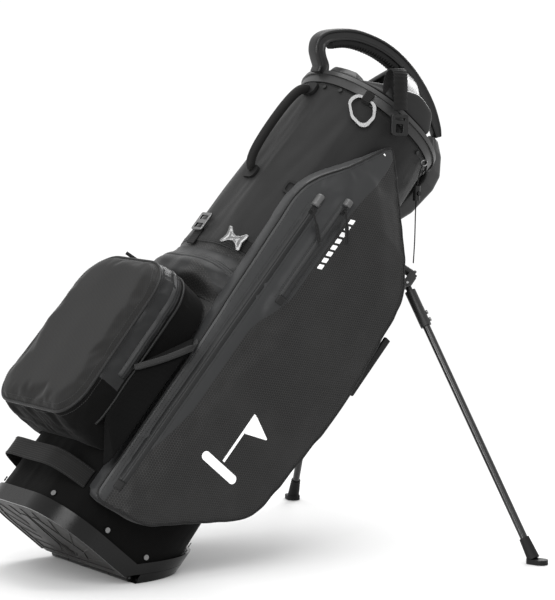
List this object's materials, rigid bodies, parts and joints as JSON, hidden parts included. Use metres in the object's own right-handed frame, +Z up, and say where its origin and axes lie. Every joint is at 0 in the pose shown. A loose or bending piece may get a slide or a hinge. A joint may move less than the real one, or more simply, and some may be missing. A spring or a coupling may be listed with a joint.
{
  "type": "golf stand bag",
  "caption": "Leaning golf stand bag: fabric tube on a moulded base, collar with loop handle, side pockets and two folding legs.",
  "frame": {"origin": "centre of the heel face that lies flat on the ground", "axes": "+Z up, +X towards the two feet, +Y to the far side; the bag leans 41 degrees towards +X"},
  "size_m": [0.7647, 0.6914, 0.7897],
  "materials": {
    "moulded_black": "satin moulded nylon",
    "collar_black": "satin moulded nylon",
    "rubber_black": "matt rubber",
    "ripstop_black": "fine dobby-weave coated nylon",
    "smooth_black": "smooth coated nylon",
    "twill_black": "plain woven nylon",
    "stretch_black": "stretch knit",
    "lining_grey": "lining cloth",
    "webbing_black": "ribbed webbing",
    "welded_zip": "coated zip tape",
    "hood_grey": "metallic grey",
    "silver_metal": "satin plated metal",
    "buckle_black": "satin acetal",
    "rivet_steel": "plated steel",
    "print_white": "printed white",
    "leg_tube_black": "gloss black anodised",
    "steel_wire": "zinc plated",
    "cord_black": "braided cord"
  },
  "bodies": {
    "bag": {"ball_pocket": "twill_black", "ball_pocket_zip": "welded_zip", "base_boot": "moulded_black", "base_webbing_handle": "webbing_black", "body_leg_far": "ripstop_black", "body_leg_near": "ripstop_black", "body_spine_far": "ripstop_black", "body_spine_near": "ripstop_black", "boot_rivets": "rivet_steel", "collar_rivets": "buckle_black", "cord_hook": "rivet_steel", "cord_lock": "buckle_black", "dash_band": "print_white", "divider_cross": "lining_grey", "divider_panels": "lining_grey", "emblem": "print_white", "far_pocket": "ripstop_black", "handle_frame": "collar_black", "handle_grip": "rubber_black", "heel_hinge_pin": "rivet_steel", "hip_buckles": "silver_metal", "hip_webbing": "webbing_black", "leg_bracket": "moulded_black", "leg_pivot_pins": "rivet_steel", "leg_side_shield": "collar_black", "leg_springs": "steel_wire", "near_pocket": "ripstop_black", "near_pocket_zips": "welded_zip", "pocket_tab": "webbing_black", "retaining_cord": "cord_black", "rim_pad": "collar_black", "rim_webbing": "webbing_black", "ring_patch": "welded_zip", "spine_handle": "smooth_black", "spine_handle_anchors": "rubber_black", "stay_rods": "steel_wire", "stretch_binding": "webbing_black", "stretch_pocket": "stretch_black", "top_collar": "collar_black", "towel_ring_loop": "webbing_black", "tread_plate": "rubber_black", "valuables_pocket": "smooth_black", "zip_hoods": "hood_grey"},
    "near_leg": {"near_leg_sleeve": "moulded_black", "near_leg_bolts": "rivet_steel", "near_leg_tube": "leg_tube_black", "near_leg_foot": "rubber_black"},
    "far_leg": {"far_leg_sleeve": "moulded_black", "far_leg_bolts": "rivet_steel", "far_leg_tube": "leg_tube_black", "far_leg_foot": "rubber_black"},
    "heel_plate": {"heel_flap": "moulded_black"},
    "leg_rod": {"actuator_rod": "steel_wire"},
    "towel_d_ring": {"towel_ring": "silver_metal"},
    "strap_socket": {"strap_buckle": "buckle_black"},
    "long_zip_slider": {"long_zip_pull": "cord_black"},
    "short_zip_slider": {"short_zip_pull": "cord_black"},
    "ball_zip_slider": {"ball_zip_pull": "cord_black"},
    "cord_button": {"cord_lock_button": "buckle_black"}
  },
  "joints": [
    {"name": "near_leg_fold", "type": "hinge", "parent": "bag", "child": "near_leg", "pos_m": [0.44317, -0.102, 0.4035], "axis": [0.4646, 0.8077, -0.363], "range_deg": [0, 60.42]},
    {"name": "far_leg_fold", "type": "hinge", "parent": "bag", "child": "far_leg", "pos_m": [0.44317, 0.102, 0.4035], "axis": [-0.4646, 0.8077, 0.363], "range_deg": [0, 60.42]},
    {"name": "heel_hinge", "type": "hinge", "parent": "bag", "child": "heel_plate", "pos_m": [-0.05374, 0, 0.006], "axis": [0, 1, 0], "range_deg": [0, 41]},
    {"name": "rod_slide", "type": "slide", "parent": "bag", "child": "leg_rod", "axis": [-0.6561, 0, -0.7547], "range_m": [0, 0.03]},
    {"name": "towel_ring_swing", "type": "hinge", "parent": "bag", "child": "towel_d_ring", "pos_m": [0.37204, -0.09476, 0.68555], "axis": [-0.5871, 0.6283, 0.5104], "range_deg": [0, 95]},
    {"name": "strap_socket_swing", "type": "hinge", "parent": "bag", "child": "strap_socket", "pos_m": [0.40818, -0.12812, 0.66166], "axis": [-0.9974, 0.0026, 0.072], "range_deg": [0, 50]},
    {"name": "long_zip_run", "type": "slide", "parent": "bag", "child": "long_zip_slider", "axis": [-0.6561, 0, -0.7547], "range_m": [0, 0.48]},
    {"name": "short_zip_run", "type": "slide", "parent": "bag", "child": "short_zip_slider", "axis": [-0.6561, 0, -0.7547], "range_m": [0, 0.145]},
    {"name": "ball_zip_run", "type": "slide", "parent": "bag", "child": "ball_zip_slider", "axis": [0, -1, 0], "range_m": [0, 0.05]},
    {"name": "cord_lock_press", "type": "slide", "parent": "bag", "child": "cord_button", "axis": [0, 1, 0], "range_m": [0, 0.0015]}
  ],
  "couplings": [
    {"joint": "far_leg_fold", "follows": "near_leg_fold", "ratio": 1},
    {"joint": "heel_hinge", "follows": "near_leg_fold", "ratio": 0.6785},
    {"joint": "rod_slide", "follows": "near_leg_fold", "m_per_rad": 0.028447}
  ]
}
